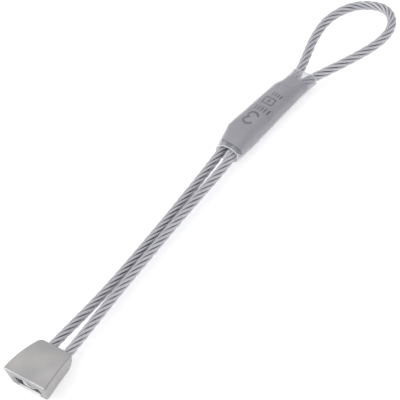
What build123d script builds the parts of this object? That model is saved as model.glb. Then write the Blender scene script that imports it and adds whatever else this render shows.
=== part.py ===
"""Wired climbing nut: an aluminium wedge threaded on a steel wire rope sling.

The rope lies in one plane. It turns back in a saddle inside the wide end of the wedge, its two
legs run to a swaged ferrule, wrapped in a printed label under a clear shrunk sleeve, and beyond
that it opens into the eye that a carabiner clips. Millimetres, +X from the wedge to the eye,
+Z out of the wedge's convex face.
"""
import os
from math import cos, pi, radians, sin, tan

from build123d import *

# --- rope ---------------------------------------------------------------------------------
ROPE_D = 3.2            # over the six outer strands
CORE_D = 1.1            # the straight middle strand
CORE_GAP = 0.02         # between the core and the strands laid round it
ROPE_BUTT_GAP = 0.6     # between the two cut ends inside the ferrule
ARC_SHARE = 0.45        # how much of the shorter run each corner's arc takes up

# --- wedge (chock head); heights are measured from the rope's plane -------------------------
HEAD_LENGTH = 15.9
HEAD_WIDE_WIDTH = 19.6      # across the convex face at the wide end
HEAD_NARROW_WIDTH = 14.8    # across the convex face at the narrow end
HEAD_WIDE_TOP = 4.1
HEAD_NARROW_TOP = 2.6
HEAD_BOTTOM = 2.8           # below the rope's plane
HEAD_END_LEAN = 2.4         # how far the narrow end's lower edge is set back
HEAD_END_BULGE = 0.8        # of the narrow end over its chord
CONVEX_RISE = 0.9           # of the convex face over its chord
CONCAVE_RISE = 0.3          # of the concave face over its chord
FLANK_ANGLE = 16            # of each flank to the vertical, degrees
HEAD_CORNER_RADIUS = 1.8    # upright corners of the narrow end
HEAD_EDGE_RADIUS = 0.75     # every other outside edge

# --- bores and saddle in the wedge ----------------------------------------------------------
LEG_SPACING = 7.0           # between the rope's legs inside the wedge
LEG_LEAD = 0.9              # of the straight legs beyond the wedge, before they close in
BORE_SPACING = 6.85         # a little less, because the legs close in towards the ferrule
BORE_CLEARANCE = 0.4        # round the rope in its bore
SADDLE_INSET = 0.05         # of the rope's bight behind the wide end's face
SADDLE_GAP = 0.15           # between the bight and the web it bears on
SLOT_FLARE = 0.45           # at each end of the saddle slot, beyond the bores
SLOT_CLEARANCE = 0.2        # above and below the bight in its slot
SLOT_CHAMFER = 0.6          # round the slot's mouth, so that it doesn't cut the rope

# --- ferrule, label and sleeve; reaches are along the ferrule, past its lower or upper end ---
FERRULE_X = 118.2
FERRULE_Y = 3.88
FERRULE_SKEW = -5.04        # the ferrule's axis in the rope's plane, degrees from +X
FERRULE_LENGTH = 23.6
FERRULE_WIDTH = 9.0
FERRULE_THICKNESS = 5.4
FERRULE_EDGE_RADIUS = 0.9
PASSAGE_SPACING = 3.5
CRIMP_GAP = 0.03            # between the rope and the metal pressed round it
LABEL_WALL = 0.15
LABEL_GAP = 0.06            # least gap inside and outside the label
LABEL_LOWER_REACH = 6.0
LABEL_UPPER_REACH = 5.2
SLEEVE_WALL = 0.4
SLACK_WIDTH = 2.1           # extra width where label and sleeve are looser, at the lower shoulder
SLACK_THICKNESS = 1.1
SHOULDER_REACH = 0.5        # of both shoulders
MOUTH_REACH = 9.3           # of the sleeve's lower end
MOUTH_SHIFT = -1.7          # sideways from the ferrule's axis
MOUTH_ROOM_WIDTH = 2.1      # round both legs of the rope together
MOUTH_ROOM_THICKNESS = 1.2
TAIL_REACH = 8.5            # of the sleeve's upper end
TAIL_SHIFT = -0.8
TAIL_ROOM_WIDTH = 3.2
TAIL_ROOM_THICKNESS = 0.8

# --- worked out from the values above -------------------------------------------------------
rope_r = ROPE_D / 2
bore_r = rope_r + BORE_CLEARANCE
bight_x = SADDLE_INSET + rope_r         # the rope's centre line in the saddle
skew = radians(FERRULE_SKEW)


def passage(x, side):
    """The y of one ferrule passage's centre line at x: side is 1 for +Y and -1 for -Y."""
    return FERRULE_Y + (x - FERRULE_X) * tan(skew) + side * PASSAGE_SPACING / 2 / cos(skew)


butt_x = FERRULE_X + FERRULE_LENGTH / 2
bend_x = HEAD_LENGTH + LEG_LEAD          # where the legs start to close in
leg_y = LEG_SPACING / 2
below_x = FERRULE_X - 4.8
above_left_x = FERRULE_X + FERRULE_LENGTH + 8.0
above_right_x = FERRULE_X + FERRULE_LENGTH + 3.8

# The rope's corners in its plane, from one cut end round the saddle and the eye to the other.
route_points = [
    (butt_x - ROPE_BUTT_GAP / 2, passage(butt_x - ROPE_BUTT_GAP / 2, -1)),
    (below_x, passage(below_x, -1)),
    (107.5, 0.1),
    (83.0, 0.0),
    (61.0, -0.85),
    (39.0, -1.9),
    (bend_x, -leg_y),
    (bight_x, -leg_y),
    (bight_x, leg_y),
    (bend_x, leg_y),
    (39.0, 2.05),
    (58.0, 2.3),
    (83.0, 3.45),
    (103.5, 4.85),
    (below_x, passage(below_x, 1)),
    (above_left_x, passage(above_left_x, 1)),
    (158.6, 5.8),
    (167.3, 8.9),
    (177.0, 10.1),
    (185.2, 6.4),
    (189.1, 0.1),
    (189.8, -6.8),
    (186.1, -12.3),
    (180.2, -14.7),
    (173.3, -13.9),
    (166.2, -11.0),
    (158.2, -6.9),
    (151.5, -3.2),
    (above_right_x, passage(above_right_x, -1)),
    (butt_x + ROPE_BUTT_GAP / 2, passage(butt_x + ROPE_BUTT_GAP / 2, -1)),
]


def corner_radii(points):
    """An arc radius for each corner: the largest that leaves room on the shorter run."""
    radii = []
    for before, corner, after in zip(points, points[1:], points[2:]):
        run_in = Vector(*corner) - Vector(*before)
        run_out = Vector(*after) - Vector(*corner)
        half_turn = radians(run_in.get_angle(run_out)) / 2
        radii.append(ARC_SHARE * min(run_in.length, run_out.length) / tan(half_turn))
    return radii


def rope_route(plane):
    """The rope's centre line, drawn in the given plane."""
    with BuildLine(plane) as line:
        FilletPolyline(*route_points, radius=corner_radii(route_points))
    return line.wire()


flat = rope_route(Plane.XY).bounding_box()
x_middle = (flat.max.X + rope_r) / 2
y_low = min(flat.min.Y - rope_r, -HEAD_WIDE_WIDTH / 2)
y_high = max(flat.max.Y + rope_r, HEAD_WIDE_WIDTH / 2)
y_middle = (y_low + y_high) / 2
wraps = 2 * (LABEL_GAP + LABEL_WALL + LABEL_GAP + SLEEVE_WALL)
shoulder_width = FERRULE_WIDTH + wraps
shoulder_thickness = FERRULE_THICKNESS + wraps
rope_height = max((shoulder_thickness + SLACK_THICKNESS) / 2, HEAD_BOTTOM)

sling = Plane(origin=(-x_middle, -y_middle, rope_height))
wedge_side = Plane(origin=sling.origin, x_dir=(1, 0, 0), z_dir=(0, -1, 0))
wide_end = Plane(origin=sling.origin, x_dir=(0, 1, 0), z_dir=(-1, 0, 0))
ferrule_axis = Vector(cos(skew), sin(skew), 0)
ferrule_across = Vector(-sin(skew), cos(skew), 0)


def ferrule_plane(station, shift=0.0):
    """A plane square to the ferrule's axis, local x across both passages."""
    foot = sling.from_local_coords(Vector(FERRULE_X, FERRULE_Y, 0))
    return Plane(origin=foot + ferrule_axis * station + ferrule_across * shift,
                 x_dir=ferrule_across, z_dir=ferrule_axis)


# --- chock head -----------------------------------------------------------------------------
flank_slope = tan(radians(FLANK_ANGLE))
half_width_at_rope = HEAD_WIDE_WIDTH / 2 - flank_slope * HEAD_WIDE_TOP
narrow_half_at_rope = HEAD_NARROW_WIDTH / 2 - flank_slope * HEAD_NARROW_TOP
wedge_slope = (half_width_at_rope - narrow_half_at_rope) / HEAD_LENGTH
web_nose_r = BORE_SPACING / 2 - bore_r
web_nose_x = bight_x + rope_r + SADDLE_GAP + web_nose_r
slot_depth = bight_x + leg_y
slot_length = BORE_SPACING + 2 * (bore_r + SLOT_FLARE)
slot_height = ROPE_D + 2 * SLOT_CLEARANCE

with BuildPart() as chock_head:
    with BuildSketch(wedge_side):
        with BuildLine():
            Line((0, -HEAD_BOTTOM), (0, HEAD_WIDE_TOP))
            SagittaArc((0, HEAD_WIDE_TOP), (HEAD_LENGTH, HEAD_NARROW_TOP), CONVEX_RISE)
            SagittaArc((HEAD_LENGTH, HEAD_NARROW_TOP), (HEAD_LENGTH - HEAD_END_LEAN, -HEAD_BOTTOM),
                       HEAD_END_BULGE)
            SagittaArc((HEAD_LENGTH - HEAD_END_LEAN, -HEAD_BOTTOM), (0, -HEAD_BOTTOM), -CONCAVE_RISE)
        make_face()
    extrude(amount=HEAD_WIDE_WIDTH, both=True)
    for side in (1, -1):
        foot = sling.from_local_coords(Vector(0, side * half_width_at_rope, 0))
        flank = Plane(origin=foot, z_dir=(wedge_slope, side, -flank_slope))
        split(bisect_by=flank, keep=Keep.BOTTOM)
    narrow_corners = chock_head.faces().sort_by(Axis.X)[-1].edges().sort_by(Axis.Y)
    fillet([narrow_corners[0], narrow_corners[-1]], HEAD_CORNER_RADIUS)
    fillet(chock_head.edges(), HEAD_EDGE_RADIUS)
    # two bores, joined at the wide end by the slot that the bight lies in
    with BuildSketch(wide_end.offset(-bight_x)):
        with GridLocations(BORE_SPACING, 0, 2, 1):
            Circle(bore_r)
    extrude(amount=-2 * HEAD_LENGTH, mode=Mode.SUBTRACT)
    with BuildSketch(wide_end):
        SlotOverall(slot_length, slot_height)
    extrude(amount=-slot_depth, mode=Mode.SUBTRACT)
    with BuildSketch(wide_end):
        SlotOverall(slot_length + 2 * SLOT_CHAMFER, slot_height + 2 * SLOT_CHAMFER)
    extrude(amount=-SLOT_CHAMFER, taper=45, mode=Mode.SUBTRACT)
    # the web between the bores ends in a round nose, which the bight bears on
    with BuildSketch(sling):
        with Locations((web_nose_x, 0)):
            Circle(web_nose_r)
        with Locations(((web_nose_x + slot_depth + web_nose_r) / 2, 0)):
            Rectangle(slot_depth + web_nose_r - web_nose_x, 2 * web_nose_r)
    extrude(amount=bore_r + CONCAVE_RISE / 2, both=True)
chock_head.part.label = "chock_head"

# --- wire rope ------------------------------------------------------------------------------
route = rope_route(sling)
rope_start = Plane(origin=route @ 0, z_dir=route % 0)

with BuildPart() as rope_strands:
    with BuildSketch(rope_start):
        Circle(rope_r)
        Circle(CORE_D / 2 + CORE_GAP, mode=Mode.SUBTRACT)
    sweep(path=route)
rope_strands.part.label = "rope_strands"

with BuildPart() as rope_core:
    with BuildSketch(rope_start):
        Circle(CORE_D / 2)
    sweep(path=route)
rope_core.part.label = "rope_core"

# --- swaged ferrule -------------------------------------------------------------------------
with BuildPart() as swage_ferrule:
    with BuildSketch(ferrule_plane(0)):
        SlotOverall(FERRULE_WIDTH, FERRULE_THICKNESS)
    extrude(amount=FERRULE_LENGTH)
    rims = swage_ferrule.faces().filter_by(GeomType.PLANE).sort_by(Axis.X)
    fillet(rims[0].edges() + rims[-1].edges(), FERRULE_EDGE_RADIUS)
    with BuildSketch(ferrule_plane(0)):
        with GridLocations(PASSAGE_SPACING, 0, 2, 1):
            Circle(rope_r + CRIMP_GAP)
    extrude(amount=FERRULE_LENGTH, mode=Mode.SUBTRACT)
swage_ferrule.part.label = "swage_ferrule"

# --- printed label and heat-shrink sleeve ---------------------------------------------------
legs_width = PASSAGE_SPACING + ROPE_D + 2 * SLEEVE_WALL
legs_thickness = ROPE_D + 2 * SLEEVE_WALL
# the sleeve's outside: along the ferrule, sideways, overall width, overall thickness
mouth = (-MOUTH_REACH, MOUTH_SHIFT, legs_width + MOUTH_ROOM_WIDTH, legs_thickness + MOUTH_ROOM_THICKNESS)
lower_shoulder = (-SHOULDER_REACH, 0, shoulder_width + SLACK_WIDTH, shoulder_thickness + SLACK_THICKNESS)
upper_shoulder = (FERRULE_LENGTH + SHOULDER_REACH, 0, shoulder_width, shoulder_thickness)
tail = (FERRULE_LENGTH + TAIL_REACH, TAIL_SHIFT, legs_width + TAIL_ROOM_WIDTH,
        legs_thickness + TAIL_ROOM_THICKNESS)


def between(first, second, station):
    """The sleeve's outside at a station on the straight taper between two of its sections."""
    share = (station - first[0]) / (second[0] - first[0])
    return tuple(near + share * (far - near) for near, far in zip(first, second))


def section(outside, inset):
    """The stadium that lies the given inset inside one section of the sleeve's outside."""
    station, shift, width, thickness = outside
    with BuildSketch(ferrule_plane(station, shift)) as stadium:
        SlotOverall(width - 2 * inset, thickness - 2 * inset)
    return stadium.sketch


with BuildPart() as heat_shrink_sleeve:
    sections = [mouth, lower_shoulder, upper_shoulder, tail]
    for inset, layer in ((0, Mode.ADD), (SLEEVE_WALL, Mode.SUBTRACT)):
        for first, second in zip(sections, sections[1:]):
            loft([section(first, inset), section(second, inset)], mode=layer)
heat_shrink_sleeve.part.label = "heat_shrink_sleeve"

with BuildPart() as printed_label:
    label_start = between(lower_shoulder, mouth, -LABEL_LOWER_REACH)
    label_end = between(upper_shoulder, tail, FERRULE_LENGTH + LABEL_UPPER_REACH)
    sections = [label_start, lower_shoulder, upper_shoulder, label_end]
    label_inset = SLEEVE_WALL + LABEL_GAP
    for inset, layer in ((label_inset, Mode.ADD), (label_inset + LABEL_WALL, Mode.SUBTRACT)):
        for first, second in zip(sections, sections[1:]):
            loft([section(first, inset), section(second, inset)], mode=layer)
printed_label.part.label = "printed_label"

# --- files and measures ---------------------------------------------------------------------
os.makedirs("parts", exist_ok=True)
pieces = [chock_head, rope_strands, rope_core, swage_ferrule, printed_label, heat_shrink_sleeve]
for piece in pieces:
    export_step(piece.part, f"parts/{piece.part.label}.step")

ring_area = pi * (rope_r ** 2 - (CORE_D / 2 + CORE_GAP) ** 2)
print("rope length", round(route.length, 2))
print("rope volume over section times length", round(rope_strands.part.volume / ring_area / route.length, 5))
print("radii", [round(radius, 1) for radius in corner_radii(route_points)])
print("wide end face", sling.origin)
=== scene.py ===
# %% [markdown]
# # A wired climbing nut
#
# A nut is a small aluminium wedge that a climber slots into a crack. It is threaded on a loop of
# steel wire rope, whose two ends meet inside a pressed metal ferrule. A printed label is wrapped
# round the ferrule, and a clear heat-shrink sleeve holds it there. Beyond the sleeve the rope
# opens into an eye for a carabiner.
#
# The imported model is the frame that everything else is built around, so it is loaded first.

import math

import bpy
import numpy as np
from mathutils import Matrix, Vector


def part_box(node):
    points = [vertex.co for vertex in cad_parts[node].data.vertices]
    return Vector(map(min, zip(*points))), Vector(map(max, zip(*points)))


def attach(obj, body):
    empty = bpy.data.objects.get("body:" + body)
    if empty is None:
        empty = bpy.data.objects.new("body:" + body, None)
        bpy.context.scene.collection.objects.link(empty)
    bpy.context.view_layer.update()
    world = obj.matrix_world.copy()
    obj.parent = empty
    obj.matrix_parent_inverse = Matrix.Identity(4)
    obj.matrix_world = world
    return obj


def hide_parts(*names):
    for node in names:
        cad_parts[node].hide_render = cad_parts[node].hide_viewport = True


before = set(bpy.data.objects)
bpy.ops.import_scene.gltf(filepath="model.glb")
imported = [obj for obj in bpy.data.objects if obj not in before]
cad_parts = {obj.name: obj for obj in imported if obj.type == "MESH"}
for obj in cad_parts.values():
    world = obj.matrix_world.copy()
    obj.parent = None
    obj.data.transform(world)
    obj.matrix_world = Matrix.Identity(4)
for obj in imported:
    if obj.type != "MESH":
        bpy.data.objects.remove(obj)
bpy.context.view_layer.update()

# %% [markdown]
# All places are worked out from two points of the frame. Along the rope they are counted from the
# middle of the wedge's wide end, at the height of the rope's centre. Round the sleeve they are
# counted from the middle of the ferrule, along the ferrule's own axis and across it.

# %% Reference points
MM = 0.001
TURN = 2 * math.pi
FERRULE_SKEW = math.radians(-5.04)      # of the ferrule to the length of the sling

wedge_low, wedge_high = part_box("chock_head")
core_low, core_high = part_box("rope_core")
ferrule_low, ferrule_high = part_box("swage_ferrule")
wide_end = np.array([wedge_low.x, (wedge_low.y + wedge_high.y) / 2, (core_low.z + core_high.z) / 2])
ferrule_middle = np.array((ferrule_low + ferrule_high) / 2)
ferrule_axis = np.array([math.cos(FERRULE_SKEW), math.sin(FERRULE_SKEW), 0.0])
ferrule_across = np.array([-math.sin(FERRULE_SKEW), math.cos(FERRULE_SKEW), 0.0])
print("wide end", wide_end, "ferrule middle", ferrule_middle)

# %% [markdown]
# ## The camera
#
# A long lens keeps the sling's two ends at nearly the same scale. A camera could be aimed with a
# Track To constraint, but that leaves no roll. Here it is placed by the point it looks at, its
# distance, and three angles: round the object, above the table, and rolled about its own line of
# sight, so that the sling runs from corner to corner.

# %% Camera
CAMERA_AIM = wide_end + np.array([88.01, -1.76, 0.13]) * MM
CAMERA_DISTANCE = 716.4 * MM
CAMERA_AZIMUTH, CAMERA_ELEVATION, CAMERA_ROLL = np.radians([-36.07, 45.45, -20.69])
CAMERA_LENS = 193.2             # millimetres, as Blender's lenses are given
CAMERA_SENSOR = 36.0
NEAREST_SEEN = 0.05
FARTHEST_SEEN = 20.0

level_right = np.array([math.cos(CAMERA_AZIMUTH), math.sin(CAMERA_AZIMUTH), 0.0])
towards_camera = np.array([math.sin(CAMERA_AZIMUTH) * math.cos(CAMERA_ELEVATION),
                           -math.cos(CAMERA_AZIMUTH) * math.cos(CAMERA_ELEVATION),
                           math.sin(CAMERA_ELEVATION)])
level_up = np.cross(towards_camera, level_right)
camera_right = math.cos(CAMERA_ROLL) * level_right + math.sin(CAMERA_ROLL) * level_up
camera_up = np.cross(towards_camera, camera_right)

camera_data = bpy.data.cameras.new("camera")
camera_data.lens = CAMERA_LENS
camera_data.sensor_width = CAMERA_SENSOR
camera_data.clip_start = NEAREST_SEEN
camera_data.clip_end = FARTHEST_SEEN
camera = bpy.data.objects.new("camera", camera_data)
bpy.context.scene.collection.objects.link(camera)
camera.matrix_world = Matrix([camera_right, camera_up, towards_camera]).transposed().to_4x4()
camera.location = CAMERA_AIM + towards_camera * CAMERA_DISTANCE
bpy.context.scene.camera = camera
print("camera at", camera.location)

# %% [markdown]
# ## The wire rope's route
#
# The rope is stiff, so it lies in smooth curves. It starts at its cut end inside the ferrule, runs
# down to the wedge, turns in the saddle inside the wide end, comes back up, runs through the
# ferrule, makes the eye and ends at the other cut end. The list is the same route as the CAD
# tube's. The sling lies flat, so the third number, the height, is 0 all along. Straight runs with
# rounded corners would look like bent wire. A NURBS spline of order 3 with these control points is
# smooth and stays close to the list.


# %% Route of the rope
LANE_SPACING = 3.5              # millimetres between the ferrule's two passages


def ferrule_lane(x, side):
    """Control point on one of the ferrule's two passages: side is 1 for +Y and -1 for -Y."""
    middle = np.array((ferrule_middle - wide_end) / MM)
    to_side = side * LANE_SPACING / 2 / math.cos(FERRULE_SKEW)
    across = (x - middle[0]) * math.tan(FERRULE_SKEW) + to_side
    return (x, middle[1] + across, 0.0)


# millimetres from the middle of the wedge's wide end: along the sling, across it, and up
route_points = [
    ferrule_lane(129.7, -1), ferrule_lane(113.4, -1), (107.5, 0.1, 0.0), (83.0, 0.0, 0.0),
    (61.0, -0.85, 0.0), (39.0, -1.9, 0.0), (16.8, -3.5, 0.0), (9.5, -3.5, 0.0), (1.65, -3.5, 0.0),
    (1.65, 3.5, 0.0), (9.5, 3.5, 0.0), (16.8, 3.5, 0.0), (39.0, 2.05, 0.0), (58.0, 2.3, 0.0),
    (83.0, 3.45, 0.0), (103.5, 4.85, 0.0), ferrule_lane(113.4, 1), ferrule_lane(123.3, 1),
    ferrule_lane(140.6, 1), ferrule_lane(149.8, 1), (158.6, 5.8, 0.0), (167.3, 8.9, 0.0),
    (177.0, 10.1, 0.0), (185.2, 6.4, 0.0), (189.1, 0.1, 0.0), (189.8, -6.8, 0.0),
    (186.1, -12.3, 0.0), (180.2, -14.7, 0.0), (173.3, -13.9, 0.0), (166.2, -11.0, 0.0),
    (158.2, -6.9, 0.0), (151.5, -3.2, 0.0), ferrule_lane(145.6, -1), ferrule_lane(139.2, -1),
    ferrule_lane(130.3, -1),
]


POINTS_PER_SPAN = 40


def spline_points(points):
    """Close points along the NURBS spline that has these control points, as Blender draws it."""
    curve = bpy.data.curves.new("route", "CURVE")
    curve.dimensions = "3D"
    curve.resolution_u = POINTS_PER_SPAN
    spline = curve.splines.new("NURBS")
    spline.points.add(len(points) - 1)
    spline.points.foreach_set("co", np.column_stack([points, np.ones(len(points))]).ravel())
    spline.order_u = 3
    spline.use_endpoint_u = True
    guide = bpy.data.objects.new("route", curve)
    line_mesh = bpy.data.meshes.new_from_object(guide)
    flat = np.empty(len(line_mesh.vertices) * 3)
    line_mesh.vertices.foreach_get("co", flat)
    bpy.data.objects.remove(guide)
    bpy.data.curves.remove(curve)
    bpy.data.meshes.remove(line_mesh)
    return flat.reshape(-1, 3)


def evenly(line, step):
    """The same line as points one step apart, and how far each lies from its start."""
    travelled = np.concatenate([[0.0], np.cumsum(np.linalg.norm(np.diff(line, axis=0), axis=1))])
    distance = np.linspace(0.0, travelled[-1], round(travelled[-1] / step) + 1)
    return np.column_stack([np.interp(distance, travelled, axis) for axis in line.T]), distance


ROPE_STEP = 0.36 * MM
rope_line, rope_distance = evenly(spline_points(wide_end + np.array(route_points) * MM), ROPE_STEP)

# %% [markdown]
# ## Six strands round a core
#
# The rope is not a tube: six strands are laid round a straight seventh as right-hand helices, and
# that is what catches the light. Each strand is itself laid from wires the other way round, so
# that on the outside the wires run along the rope. A strand is therefore a ring with twelve
# shallow scallops, carried along a helix and turned against it as it goes. The same function
# makes the core, as a helix of no radius. A plain tube with a bump map would be lighter, but its
# outline would stay round, and the rope's outline is wavy.


# %% Helpers for surfaces
def unit(vectors):
    """The same vectors, each one unit long."""
    return vectors / np.linalg.norm(vectors, axis=-1, keepdims=True)


def grid_quads(rows, columns, close_rows=False):
    """Quads of a grid whose columns close into a ring, and whose rows may too; they face outwards."""
    row = np.arange(rows if close_rows else rows - 1)[:, None]
    column = np.arange(columns)[None, :]
    next_row, next_column = (row + 1) % rows, (column + 1) % columns
    corners = [row * columns + column, row * columns + next_column,
               next_row * columns + next_column, next_row * columns + column]
    corners = [np.broadcast_to(corner, (len(row), columns)) for corner in corners]
    return np.stack(corners, axis=-1).reshape(-1, 4)


def new_piece(name, vertices, faces, material, body="sling"):
    """A smooth mesh object that rides on a body and wears the given material."""
    mesh = bpy.data.meshes.new(name)
    mesh.from_pydata(vertices.reshape(-1, 3), [], faces)
    mesh.shade_smooth()
    mesh.materials.append(material)
    piece = bpy.data.objects.new(name, mesh)
    bpy.context.scene.collection.objects.link(piece)
    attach(piece, body)
    print(name, len(mesh.vertices), "vertices")
    return piece


def set_attribute(piece, name, values):
    """A number on each vertex, which the material reads by name."""
    attribute = piece.data.attributes.new(name, "FLOAT", "POINT")
    attribute.data.foreach_set("value", values.astype(np.float32).ravel())


print("a tube of 3 rings of 4 points has", len(grid_quads(3, 4)), "quads")

# %% [markdown]
# ## Finishes
#
# Two effects are shared by several materials, so each is a node group with its own inputs.
# *Mottle* blends two colours by soft noise, which is how zinc, tumbled aluminium and plastic film
# all vary a little. *Fine grain* adds two sizes of noise into a height for a Bump node. The
# Principled shader itself stays in each material.


# %% Shared node groups
MOTTLE_DETAIL = 4.0
FINER_BY = 3.0
FINE_SHARE = 0.5


def new_group(name, inputs, outputs):
    """An empty shader node group with the named sockets, and its two end nodes."""
    group = bpy.data.node_groups.new(name, "ShaderNodeTree")
    for direction, sockets in (("INPUT", inputs), ("OUTPUT", outputs)):
        for socket_name, kind, value in sockets:
            socket = group.interface.new_socket(socket_name, in_out=direction, socket_type=kind)
            if value is not None:
                socket.default_value = value
    return group, group.nodes.new("NodeGroupInput"), group.nodes.new("NodeGroupOutput")


def make_mottle():
    """Colour = first + soft noise of the object's coordinates times (second - first)."""
    group, start, end = new_group(
        "Mottle",
        [("First", "NodeSocketColor", (1, 1, 1, 1)), ("Second", "NodeSocketColor", (1, 1, 1, 1)),
         ("Scale", "NodeSocketFloat", 100.0), ("Low", "NodeSocketFloat", 0.35),
         ("High", "NodeSocketFloat", 0.65)],
        [("Color", "NodeSocketColor", None), ("Mask", "NodeSocketFloat", None)])
    place = group.nodes.new("ShaderNodeTexCoord")
    noise = group.nodes.new("ShaderNodeTexNoise")
    noise.inputs["Detail"].default_value = MOTTLE_DETAIL
    spread = group.nodes.new("ShaderNodeMapRange")
    mix = group.nodes.new("ShaderNodeMix")
    mix.data_type = "RGBA"
    group.links.new(place.outputs["Object"], noise.inputs["Vector"])
    group.links.new(start.outputs["Scale"], noise.inputs["Scale"])
    group.links.new(noise.outputs["Fac"], spread.inputs["Value"])
    group.links.new(start.outputs["Low"], spread.inputs["From Min"])
    group.links.new(start.outputs["High"], spread.inputs["From Max"])
    group.links.new(spread.outputs["Result"], mix.inputs["Factor"])
    group.links.new(start.outputs["First"], mix.inputs["A"])
    group.links.new(start.outputs["Second"], mix.inputs["B"])
    group.links.new(mix.outputs["Result"], end.inputs["Color"])
    group.links.new(spread.outputs["Result"], end.inputs["Mask"])
    return group


def make_fine_grain():
    """Height = coarse noise + half as much of a noise three times finer.

    Both read the object's coordinates, stretched by a factor along each axis.
    """
    group, start, end = new_group(
        "Fine grain",
        [("Stretch", "NodeSocketVector", (1, 1, 1)), ("Scale", "NodeSocketFloat", 1500.0)],
        [("Height", "NodeSocketFloat", None)])
    place = group.nodes.new("ShaderNodeTexCoord")
    stretch = group.nodes.new("ShaderNodeVectorMath")
    stretch.operation = "MULTIPLY"
    group.links.new(place.outputs["Object"], stretch.inputs[0])
    group.links.new(start.outputs["Stretch"], stretch.inputs[1])
    coarse, fine = group.nodes.new("ShaderNodeTexNoise"), group.nodes.new("ShaderNodeTexNoise")
    finer = group.nodes.new("ShaderNodeMath")
    finer.operation = "MULTIPLY"
    finer.inputs[1].default_value = FINER_BY
    total = group.nodes.new("ShaderNodeMath")
    total.operation = "MULTIPLY_ADD"
    total.inputs[1].default_value = FINE_SHARE
    group.links.new(start.outputs["Scale"], coarse.inputs["Scale"])
    group.links.new(start.outputs["Scale"], finer.inputs[0])
    group.links.new(finer.outputs["Value"], fine.inputs["Scale"])
    for noise in (coarse, fine):
        group.links.new(stretch.outputs["Vector"], noise.inputs["Vector"])
    group.links.new(fine.outputs["Fac"], total.inputs[0])
    group.links.new(coarse.outputs["Fac"], total.inputs[2])
    group.links.new(total.outputs["Value"], end.inputs["Height"])
    return group


MOTTLE, FINE_GRAIN = make_mottle(), make_fine_grain()
print("groups", MOTTLE.name, FINE_GRAIN.name)


# %% One finish from the shared groups
def finish_of(name, first, second, scale, metallic, roughness, grain_scale, grain_depth,
              stretch=(1, 1, 1), roughness_spread=0.08):
    """A material: mottled colour, roughness that follows the mottle, and a fine-grained bump."""
    material = bpy.data.materials.new(name)
    material.use_nodes = True
    nodes, links = material.node_tree.nodes, material.node_tree.links
    shader = nodes["Principled BSDF"]
    shader.inputs["Metallic"].default_value = metallic
    mottle = nodes.new("ShaderNodeGroup")
    mottle.node_tree = MOTTLE
    mottle.inputs["First"].default_value = (*first, 1)
    mottle.inputs["Second"].default_value = (*second, 1)
    mottle.inputs["Scale"].default_value = scale
    links.new(mottle.outputs["Color"], shader.inputs["Base Color"])
    rough = nodes.new("ShaderNodeMapRange")
    rough.inputs["To Min"].default_value = roughness - roughness_spread
    rough.inputs["To Max"].default_value = roughness + roughness_spread
    links.new(mottle.outputs["Mask"], rough.inputs["Value"])
    links.new(rough.outputs["Result"], shader.inputs["Roughness"])
    grain = nodes.new("ShaderNodeGroup")
    grain.node_tree = FINE_GRAIN
    grain.inputs["Scale"].default_value = grain_scale
    grain.inputs["Stretch"].default_value = stretch
    bump = nodes.new("ShaderNodeBump")
    bump.inputs["Strength"].default_value = 1.0
    bump.inputs["Distance"].default_value = grain_depth
    links.new(grain.outputs["Height"], bump.inputs["Height"])
    links.new(bump.outputs["Normal"], shader.inputs["Normal"])
    print("finish", name)
    return material


# %% [markdown]
# ### Galvanised wire
#
# Zinc-coated steel is a light grey metal with a faint blue tint. Each strand carries a *crest*
# value, 0 in a groove and 1 on the outside of the rope, and the colour is darkened where it is
# low: painted shade between the strands and between their wires, where some dirt gathers too.
# Ambient occlusion could find the grooves too, but it is slow, and the value is already known
# where the strand is made.

# %% Galvanised wire
# Painted shade: the share of the wire's colour left at the bottom of a groove.
GROOVE_SHADE_SHARE = 0.72
wire_metal = finish_of("galvanised_wire", (0.66, 0.658, 0.69), (0.76, 0.757, 0.78), scale=350.0,
                       metallic=1.0, roughness=0.50, grain_scale=2500.0, grain_depth=0.02 * MM)


def paint_groove_shade(material, groove_share):
    """Painted shade: base colour times a share that rises from groove_share at crest 0 to 1 at crest 1."""
    nodes, links = material.node_tree.nodes, material.node_tree.links
    shader = nodes["Principled BSDF"]
    plain = shader.inputs["Base Color"].links[0].from_socket
    crest = nodes.new("ShaderNodeAttribute")
    crest.attribute_name = "crest"
    share = nodes.new("ShaderNodeMapRange")
    share.inputs["To Min"].default_value = groove_share
    dark = nodes.new("ShaderNodeMix")
    dark.data_type = "RGBA"
    dark.blend_type = "MULTIPLY"
    dark.inputs["Factor"].default_value = 1.0
    links.new(crest.outputs["Fac"], share.inputs["Value"])
    links.new(plain, dark.inputs["A"])
    links.new(share.outputs["Result"], dark.inputs["B"])
    links.new(dark.outputs["Result"], shader.inputs["Base Color"])


# Painted shade in the rope's grooves and in the valleys between its wires.
paint_groove_shade(wire_metal, GROOVE_SHADE_SHARE)

# %% [markdown]
# ### The strands themselves
#
# The rope's frame of reference is simple because it never stands upright: *across* is level and
# square to the rope, and *upward* is square to both. A helix then turns in those two directions.

# %% Strands and core
ROPE_RADIUS = 1.6 * MM
STRAND_RADIUS = 0.525 * MM
CORE_RADIUS = 0.55 * MM
STRAND_COUNT = 6
ROPE_LAY = 19.5 * MM        # length of one turn of a strand, along the rope
WIRE_LAY = 8.0 * MM         # length of one turn of a wire in its strand, the other way round
WIRES_SHOWN = 12
WIRE_RELIEF = 0.085 * MM
# Painted shade: the colour darkens in the grooves below these depths, and also in the valleys between
# wires.
CREST_START = 0.70          # of the rope's radius, where a groove starts to lighten
CREST_RISE = 0.26           # of the rope's radius, over which it reaches the outside's colour
VALLEY_SHADE = 0.5      # of the crest, in the valleys between wires

along = unit(np.gradient(rope_line, axis=0))
across = unit(np.cross([0.0, 0.0, 1.0], along))
upward = np.cross(along, across)


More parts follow.
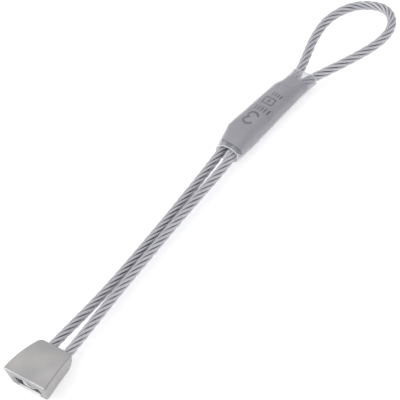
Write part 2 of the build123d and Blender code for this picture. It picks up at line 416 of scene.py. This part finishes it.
def strand(name, helix_radius, radius, first_turn):
    """A scalloped ring carried along a right-hand helix round the rope's line.

    Centre = line + helix radius times (cos(turn) across + sin(turn) upward), where the turn grows
    by a full circle with each lay. Ring radius = radius less the relief in the valleys between
    wires, and the ring itself turns backwards by a full circle with each wire lay. Crest = how
    far the point is from the rope's axis, between the two limits above, less half in a valley.
    """
    turn = (TURN * (rope_distance / ROPE_LAY + first_turn))[:, None]
    outward = np.cos(turn) * across + np.sin(turn) * upward
    centre = rope_line + helix_radius * outward
    tangent = unit(np.gradient(centre, axis=0))
    outward = unit(outward - np.sum(outward * tangent, axis=1, keepdims=True) * tangent)
    beside = np.cross(tangent, outward)
    ring = np.arange(2 * WIRES_SHOWN) * math.pi / WIRES_SHOWN
    ring_radius = radius - WIRE_RELIEF * (np.arange(2 * WIRES_SHOWN) % 2)
    angle = ring[None, :] - (TURN * rope_distance / WIRE_LAY)[:, None]
    vertices = centre[:, None] + ring_radius[None, :, None] * (
        np.cos(angle)[..., None] * outward[:, None] + np.sin(angle)[..., None] * beside[:, None])
    rows, columns = angle.shape
    ends = [list(range(columns))[::-1], list(range((rows - 1) * columns, rows * columns))]
    faces = grid_quads(rows, columns).tolist() + ends
    piece = new_piece(name, vertices, faces, wire_metal)
    # The crest sets the painted shade: low in the grooves, and halved in the valleys between wires.
    from_axis = np.linalg.norm(vertices - rope_line[:, None], axis=2) / ROPE_RADIUS
    wire_valley = np.arange(columns) % 2
    outside = np.clip((from_axis - CREST_START) / CREST_RISE, 0.0, 1.0)
    set_attribute(piece, "crest", outside * (1 - VALLEY_SHADE * wire_valley))
    return piece


strands = [strand(f"rope_strand_{i + 1}", ROPE_RADIUS - STRAND_RADIUS, STRAND_RADIUS,
                  i / STRAND_COUNT) for i in range(STRAND_COUNT)]
for piece in strands:
    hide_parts("rope_strands")
core = strand("rope_core_strand", 0.0, CORE_RADIUS, 0.0)
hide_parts("rope_core")

# %% [markdown]
# ## Label and clear sleeve
#
# Both films are shrunk over the ferrule, so they share one shape: a crowned oval whose two edges
# and half thickness change along the ferrule. It is wide at the ferrule's lower shoulder, where
# the film stands off, it draws in past the upper shoulder, and it flattens over the rope at both
# ends. The table has one row wherever the film changes direction, and a running mean over 1.6 mm
# rounds it as heat does. An oval of power 2.8 is fuller than an ellipse and has no hard corners.
# A Shrinkwrap modifier could follow the ferrule too, but it would cling where real film bridges.

# %% The shape that the films share
# millimetres: along the ferrule from its middle, +Y edge, -Y edge, half thickness
film_table = np.array([
    (-23.0, 3.0, -6.5, 2.35), (-20.5, 3.2, -6.5, 2.45), (-17.5, 4.3, -6.5, 2.80),
    (-13.6, 5.5, -6.3, 3.45), (-12.0, 6.2, -6.2, 3.75), (-9.0, 6.15, -6.0, 3.75),
    (-4.0, 5.85, -5.8, 3.60), (4.0, 5.55, -5.5, 3.45), (11.4, 5.25, -5.3, 3.35),
    (12.9, 4.60, -5.3, 2.95), (15.0, 4.15, -5.6, 2.65), (18.0, 4.15, -5.9, 2.45),
    (20.0, 4.45, -6.1, 2.35), (23.0, 4.5, -6.2, 2.30),
])
FILM_POWER = 2.8
FILM_STEP_MM = 0.1
ROUNDED_OVER_MM = 1.6

station_count = round((film_table[-1, 0] - film_table[0, 0]) / FILM_STEP_MM) + 1
film_station = np.linspace(film_table[0, 0], film_table[-1, 0], station_count)
mean_count = round(ROUNDED_OVER_MM / FILM_STEP_MM) + 1
mean_over = np.ones(mean_count) / mean_count
film_edges = []
for values in film_table[:, 1:].T:
    straight = np.interp(film_station, film_table[:, 0], values)
    padded_ends = np.pad(straight, len(mean_over) // 2, mode="edge")
    film_edges.append(np.convolve(padded_ends, mean_over, mode="valid"))
print("film shape", station_count, "stations, widest", round(max(film_edges[0] - film_edges[1]), 2), "mm")


def film_section(station):
    """+Y edge, -Y edge and half thickness of the film at a station, from the rounded table."""
    return [np.interp(station, film_station, edge) for edge in film_edges]


def film_point(station, angle, inset):
    """A point on the film: station along the ferrule, angle round the oval, inset under the outside.

    Across = centre + half width times cos(angle) to the power 2/2.8, and up = half thickness times
    sin(angle) to the same power, each with its sign. All in millimetres.
    """
    left, right, half = film_section(station)
    power = 2 / FILM_POWER
    swing, rise = np.cos(angle), np.sin(angle)
    half_width = (left - right) / 2 - inset
    across_mm = (left + right) / 2 + half_width * np.sign(swing) * np.abs(swing) ** power
    up_mm = (half - inset) * np.sign(rise) * np.abs(rise) ** power
    return place_on_ferrule(station, across_mm, up_mm)


def place_on_ferrule(station, across_mm, up_mm):
    """The point in the frame for millimetres along, across and above the ferrule's axis."""
    along_part = np.multiply.outer(station, ferrule_axis)
    across_part = np.multiply.outer(across_mm, ferrule_across)
    up_part = np.multiply.outer(up_mm, np.array([0.0, 0.0, 1.0]))
    return ferrule_middle + (along_part + across_part + up_part) * MM


GATHERED_ALPHA = 0.26           # how solid the film looks where it is gathered on the rope
# Painted highlight: along its two cut edges the film is made white and nearly solid.
CUT_EDGE_HIGHLIGHT_ALPHA = 0.85           # how solid it looks along its two cut edges
GATHERED_FROM_MM = 16.5         # from the ferrule's middle, where the gathering starts
GATHERED_OVER_MM = 2.5          # how far it takes to be complete


def film_shell(name, start, end, outer_inset, wall, material, rows=150, columns=112):
    """A closed film between two ends: out along its outside, round a lip, back along its inside.

    start and end give the station of each end as functions of the angle, so that an end can be
    cut unevenly. Each lip is half a circle in two steps. The haze-and-highlight value = 0 over the
    ferrule, rising to the gathered haze past it, and a painted highlight's value in the rows at
    the two cut ends.
    """
    angle = np.linspace(0.0, TURN, columns, endpoint=False)[None, :]
    share = np.linspace(0.0, 1.0, rows)[:, None]
    outward_rows = start(angle) + share * (end(angle) - start(angle))
    lip = wall / 2
    stations = [outward_rows, end(angle) + lip, outward_rows[::-1], start(angle) - lip]
    insets = [np.zeros((rows, 1)), np.full((1, 1), lip), np.full((rows, 1), wall), np.full((1, 1), lip)]
    station, inset = np.concatenate(stations), np.concatenate(insets) + outer_inset
    vertices = film_point(station, np.broadcast_to(angle, station.shape), inset)
    faces = grid_quads(len(station), columns, close_rows=True).tolist()
    piece = new_piece(name, vertices, faces, material)
    haze_and_edge_highlight = GATHERED_ALPHA * np.clip((np.abs(station) - GATHERED_FROM_MM) / GATHERED_OVER_MM, 0.0, 1.0)
    cut_rows = [0, rows - 1, rows, rows + 1, -2, -1]    # ends of the outside, lips, ends of the inside
    # Painted highlight along the cut edges.
    haze_and_edge_highlight[cut_rows] = CUT_EDGE_HIGHLIGHT_ALPHA
    set_attribute(piece, "haze_and_edge_highlight", haze_and_edge_highlight)
    return piece


# %% [markdown]
# ### The films' finishes
#
# The label is a matt grey film. The sleeve is clear but a little milky: its Alpha lets the label
# through where it is seen face on, and is denser towards its outline, where the eye looks through
# more of it. It also reads the value that the shell carries: film turns white where it is gathered
# on the rope, and along each cut edge a painted highlight makes it white and nearly solid.
# Transmission would bend the light as well, but on a film this thin that costs time and shows
# nothing.

# %% Film finishes
label_film = finish_of("label_film", (0.475, 0.468, 0.492), (0.52, 0.512, 0.535), scale=120.0,
                       metallic=0.0, roughness=0.55, grain_scale=900.0, grain_depth=0.01 * MM)
clear_film = finish_of("clear_sleeve", (0.45, 0.447, 0.48), (0.52, 0.517, 0.55), scale=180.0,
                       metallic=0.0, roughness=0.28, grain_scale=260.0, grain_depth=0.02 * MM)


def let_through(material, outline_blend, face_on, at_outline, haze_and_highlight_colour):
    """Alpha = the larger of the haze-and-highlight value and a share that rises from face_on to
    at_outline.

    The share follows Layer Weight's Facing. The base colour goes to the given near-white colour as that
    value goes to 1: milky haze where the film is gathered, a painted highlight along the cut edges.
    """
    nodes, links = material.node_tree.nodes, material.node_tree.links
    shader = nodes["Principled BSDF"]
    plain = shader.inputs["Base Color"].links[0].from_socket
    outline = nodes.new("ShaderNodeLayerWeight")
    outline.inputs["Blend"].default_value = outline_blend
    share = nodes.new("ShaderNodeMapRange")
    share.inputs["To Min"].default_value = face_on
    share.inputs["To Max"].default_value = at_outline
    haze_and_edge_highlight = nodes.new("ShaderNodeAttribute")
    haze_and_edge_highlight.attribute_name = "haze_and_edge_highlight"
    larger = nodes.new("ShaderNodeMath")
    larger.operation = "MAXIMUM"
    colour = nodes.new("ShaderNodeMix")
    colour.data_type = "RGBA"
    colour.inputs["B"].default_value = (*haze_and_highlight_colour, 1)
    links.new(outline.outputs["Facing"], share.inputs["Value"])
    links.new(share.outputs["Result"], larger.inputs[0])
    links.new(haze_and_edge_highlight.outputs["Fac"], larger.inputs[1])
    links.new(larger.outputs["Value"], shader.inputs["Alpha"])
    links.new(haze_and_edge_highlight.outputs["Fac"], colour.inputs["Factor"])
    links.new(plain, colour.inputs["A"])
    links.new(colour.outputs["Result"], shader.inputs["Base Color"])


# Near white: the milky haze of gathered film, and the painted highlight along the cut edges.
let_through(clear_film, outline_blend=0.35, face_on=0.11, at_outline=0.75, haze_and_highlight_colour=(0.95, 0.95, 1.0))

# %% [markdown]
# ### The two films
#
# A heat-shrink sleeve is cut with scissors and shrinks unevenly, so each end is a slow wave round
# the oval and not a straight cut. The label inside it is cut by a machine and is almost straight.

# %% Label and sleeve
SLEEVE_WALL_MM = 0.30
LABEL_INSET_MM = 0.42
LABEL_WALL_MM = 0.15

sleeve = film_shell(
    "clear_shrink_sleeve",
    lambda angle: -21.0 + 0.9 * np.sin(angle) - 0.5 * np.cos(angle) + 0.12 * np.sin(5 * angle),
    lambda angle: 20.6 - 0.15 * np.cos(angle) + 0.25 * np.sin(3 * angle + 1.0),
    0.0, SLEEVE_WALL_MM, clear_film)
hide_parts("heat_shrink_sleeve")
label = film_shell(
    "ferrule_label",
    lambda angle: -17.8 + 0.15 * np.sin(2 * angle),
    lambda angle: 17.0 - 0.10 * np.sin(2 * angle + 0.6),
    LABEL_INSET_MM, LABEL_WALL_MM, label_film)
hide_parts("printed_label")

# %% [markdown]
# ## Printing
#
# The label carries the nut's size number and some small marks. A print stroke is a ribbon that
# lies on the label: each point of its middle line is given along and across the ferrule, and its
# height follows from the oval's own formula. A text object would need a Shrinkwrap to bend round
# the label, and would bring a font with it. The number is drawn from arcs. The small marks are
# plain bars and a plain box, which say nothing.

# %% Printing
PRINT_LIFT_MM = 0.04
STROKE_STEP_MM = 0.15
ARC_POINTS = 25
NEAR_EDGE = 0.999               # of the half width: a stroke stops short of the label's very edge
ink = finish_of("print_ink", (0.006, 0.006, 0.008), (0.012, 0.012, 0.014), scale=700.0,
                metallic=0.0, roughness=0.6, grain_scale=1500.0, grain_depth=0.005 * MM)


def on_label(station, across_mm):
    """The point of the label's top for a station and a distance across, lifted to clear it.

    Up = half thickness times (1 - share to the power 2.8) to the power 1/2.8, where share is the
    distance from the middle as a share of the half width.
    """
    left, right, half = film_section(station)
    inset = LABEL_INSET_MM - PRINT_LIFT_MM
    from_middle = np.abs(across_mm - (left + right) / 2)
    share = np.clip(from_middle / ((left - right) / 2 - inset), 0.0, NEAR_EDGE)
    up_mm = (half - inset) * (1 - share ** FILM_POWER) ** (1 / FILM_POWER)
    return place_on_ferrule(station, across_mm, up_mm)


def stroke(line, width):
    """Vertices and quads of a ribbon of the given width along a flat line on the label, in millimetres."""
    line, _ = evenly(np.asarray(line, float), STROKE_STEP_MM)
    direction = unit(np.gradient(line, axis=0))
    sideways = np.column_stack([-direction[:, 1], direction[:, 0]]) * width / 2
    edges = [line + sideways * share for share in (-1.0, 0.0, 1.0)]
    points = np.stack(edges, axis=1)
    vertices = on_label(points[..., 0], points[..., 1]).reshape(-1, 3)
    first = (np.arange(len(line) - 1)[:, None] * 3 + np.arange(2)[None, :]).ravel()
    return vertices, np.stack([first, first + 3, first + 4, first + 1], axis=-1)


def arc(centre, radii, start, end):
    """Points of an elliptical arc on the label, in degrees: 0 along the ferrule, 90 across it."""
    angle = np.radians(np.linspace(start, end, ARC_POINTS))
    along_mm = centre[0] + radii[0] * np.cos(angle)
    across_mm = centre[1] + radii[1] * np.sin(angle)
    return np.column_stack([along_mm, across_mm])


def print_marks(name, strokes):
    """One printed piece from several strokes."""
    vertices, faces, count = [], [], 0
    for line, width in strokes:
        points, quads = stroke(line, width)
        vertices.append(points)
        faces += (quads + count).tolist()
        count += len(points)
    return new_piece(name, np.concatenate(vertices), faces, ink)


# %% The number and the small marks
# millimetres along and across the ferrule, from its middle
NUMBER_WIDTH, BAR_WIDTH, BOX_WIDTH, BLOCK_WIDTH, SMALL_BAR_WIDTH = 0.88, 0.52, 0.42, 0.9, 0.45
BOWL_RADII = (1.45, 1.95)
bowls = [arc((-4.75, 0.0), BOWL_RADII, -80, 165), arc((-7.25, 0.0), BOWL_RADII, 15, 260)]
print_marks("size_number", [(bowl, NUMBER_WIDTH) for bowl in bowls])
bars = [([(-1.9, t), (0.2, t)], BAR_WIDTH) for t in np.linspace(-3.6, 2.2, 5)]
box_corners = [(1.9, -2.3), (4.7, -2.3), (4.7, 2.0), (1.9, 2.0)]
box_sides = [(list(side), BOX_WIDTH) for side in zip(box_corners, box_corners[1:] + box_corners[:1])]
box_middle = [([(2.7, -0.15), (3.9, -0.15)], BLOCK_WIDTH)]
small_bars = [([(5.9, t), (7.5, t)], SMALL_BAR_WIDTH) for t in np.linspace(-2.7, 0.9, 4)]
print_marks("small_marks", bars + box_sides + box_middle + small_bars)

# %% [markdown]
# ## Metal parts that CAD already shaped
#
# The wedge and the ferrule are right as they come from CAD, so they only get a finish: a second
# mesh over a CAD node would add nothing. The wedge is tumbled aluminium: satin, with faint warm
# and cool patches and fine lines along its flanks, which come from grain stretched along it.

# %% Wedge and ferrule
wedge_metal = finish_of("tumbled_aluminium", (0.475, 0.455, 0.440), (0.445, 0.447, 0.450),
                        scale=150.0, metallic=1.0, roughness=0.46, grain_scale=1800.0,
                        grain_depth=0.012 * MM, stretch=(0.25, 1, 1))
ferrule_metal = finish_of("ferrule_metal", (0.42, 0.43, 0.46), (0.50, 0.51, 0.53), scale=200.0,
                          metallic=1.0, roughness=0.45, grain_scale=1500.0, grain_depth=0.01 * MM)
for node, material in (("chock_head", wedge_metal), ("swage_ferrule", ferrule_metal)):
    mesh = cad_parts[node].data
    mesh.materials.clear()
    mesh.materials.append(material)
    print(node, "wears", material.name)

# %% [markdown]
# ## Floor and light
#
# A metal part only looks like metal if it has something to reflect. The floor and the surroundings
# are pale, a large soft light hangs above and behind, and a small one picks out the edges. A sun
# lamp would cast hard shadows, which a product table doesn't have. The floor also glows a little,
# so that it stays nearly white under weak lights.

# %% Floor
FLOOR_HALF = 4.0
FLOOR_GREY = 0.80
FLOOR_ROUGHNESS = 0.9
FLOOR_GLOW = 0.50
floor_mesh = bpy.data.meshes.new("floor")
floor_mesh.from_pydata([(-FLOOR_HALF, -FLOOR_HALF, 0), (FLOOR_HALF, -FLOOR_HALF, 0),
                        (FLOOR_HALF, FLOOR_HALF, 0), (-FLOOR_HALF, FLOOR_HALF, 0)], [], [(0, 1, 2, 3)])
floor = bpy.data.objects.new("floor", floor_mesh)
bpy.context.scene.collection.objects.link(floor)
floor_paint = bpy.data.materials.new("floor_paint")
floor_paint.use_nodes = True
floor_shader = floor_paint.node_tree.nodes["Principled BSDF"]
floor_shader.inputs["Base Color"].default_value = (FLOOR_GREY, FLOOR_GREY, FLOOR_GREY, 1)
floor_shader.inputs["Roughness"].default_value = FLOOR_ROUGHNESS
floor_shader.inputs["Emission Color"].default_value = (1, 1, 1, 1)
floor_shader.inputs["Emission Strength"].default_value = FLOOR_GLOW
floor_mesh.materials.append(floor_paint)
print("floor", 2 * FLOOR_HALF, "m square")


# %% Light
LIGHT_DISTANCE = 0.9
SURROUNDINGS_COLOUR = (0.96, 0.97, 1.0, 1)
SURROUNDINGS_STRENGTH = 0.74


def soft_light(name, direction, size, watts):
    """A square area light that looks at the middle of the sling from a direction."""
    data = bpy.data.lights.new(name, "AREA")
    data.energy = watts
    data.size = size
    lamp = bpy.data.objects.new(name, data)
    bpy.context.scene.collection.objects.link(lamp)
    back = unit(np.array(direction, float))
    side = unit(np.cross([0.0, 0.0, 1.0], back))
    lamp.matrix_world = Matrix([side, np.cross(back, side), back]).transposed().to_4x4()
    lamp.location = CAMERA_AIM + back * LIGHT_DISTANCE
    print("light", name, watts, "W")


soft_light("overhead", (0.35, 0.5, 1.0), size=0.8, watts=0.9)
soft_light("edge", (-0.70, 0.57, 0.40), size=0.35, watts=1.8)
world = bpy.data.worlds.new("surroundings")
world.use_nodes = True
sky = world.node_tree.nodes["Background"]
sky.inputs["Color"].default_value = SURROUNDINGS_COLOUR
sky.inputs["Strength"].default_value = SURROUNDINGS_STRENGTH
bpy.context.scene.world = world
bpy.context.scene.view_settings.view_transform = "Standard"
print("surroundings", SURROUNDINGS_STRENGTH)
